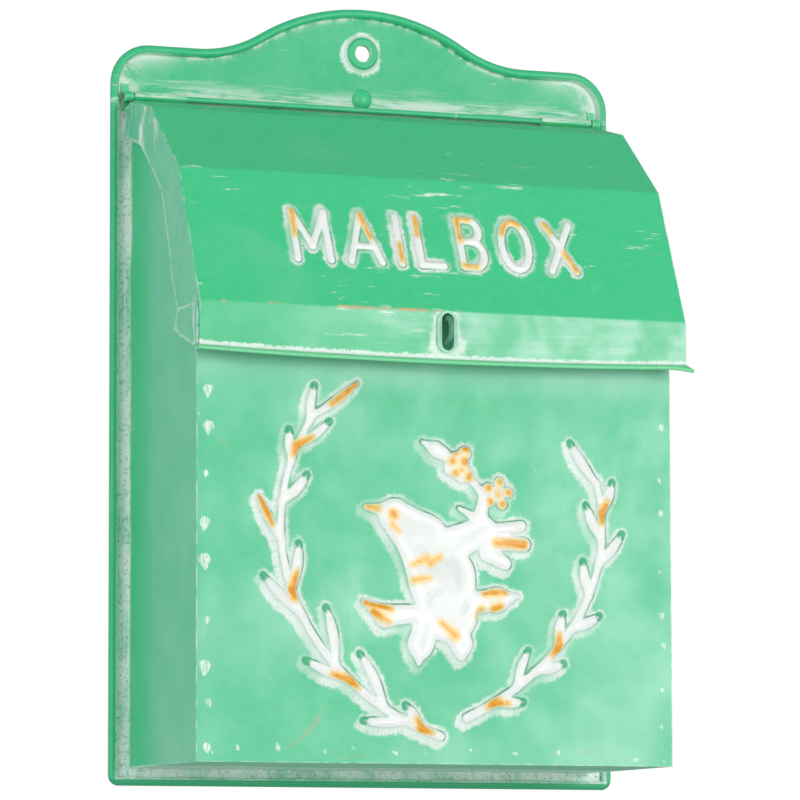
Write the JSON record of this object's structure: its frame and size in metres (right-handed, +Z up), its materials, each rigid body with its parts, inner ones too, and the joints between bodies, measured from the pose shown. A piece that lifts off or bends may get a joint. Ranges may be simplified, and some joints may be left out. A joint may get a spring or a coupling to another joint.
{
  "type": "wall mounted mailbox",
  "caption": "Sheet-metal wall mailbox with an arched back plate, a deep box for letters, a faceted hinged lid with a padlock slot, and pressed relief decoration.",
  "frame": {"origin": "on the hanging hole's axis, in the plane of the wall (the back plate's rear face)", "axes": "+X to the right seen from the front, +Y into the wall, so the front faces -Y, +Z up"},
  "size_m": [0.266, 0.1196, 0.3892],
  "materials": {
    "plate_paint": "painted sheet steel, satin green, dry-brushed white at the rolled rim",
    "side_paint": "painted sheet steel, satin green, white scuffs at the edges",
    "front_paint": "painted sheet steel, cloudy pale green with white and orange pressed relief",
    "lid_paint": "painted sheet steel, satin green with white and orange raised lettering",
    "cheek_paint": "painted sheet steel, green with worn white edges",
    "eyelet_paint": "painted pressed eyelet, rubbed pale at the rim",
    "hardware_paint": "green paint over steel, rubbed at the high spots",
    "hinge_wire_paint": "thin green paint over steel wire",
    "hidden_wire": "plain steel, inside or behind painted sheet"
  },
  "bodies": {
    "box": {"back_plate": "plate_paint", "rim_wire": "hidden_wire", "left_side_panel": "side_paint", "right_side_panel": "side_paint", "bottom_panel": "side_paint", "front_panel": "front_paint", "lock_staple": "hardware_paint", "staple_backing_plate": "hidden_wire", "hinge_wire": "hinge_wire_paint", "left_hinge_strap": "hardware_paint", "right_hinge_strap": "hardware_paint", "lid_stop_rivet": "hardware_paint"},
    "lid": {"lid_sheet": "lid_paint", "lid_slot_eyelet": "eyelet_paint", "lid_left_cheek": "cheek_paint", "lid_right_cheek": "cheek_paint", "lid_left_corner_flap": "cheek_paint", "lid_right_corner_flap": "cheek_paint"}
  },
  "joints": [
    {"name": "lid_hinge", "type": "hinge", "parent": "box", "child": "lid", "pos_m": [0, -0.006, -0.0295], "axis": [-1, 0, 0], "range_deg": [0, 100]}
  ]
}
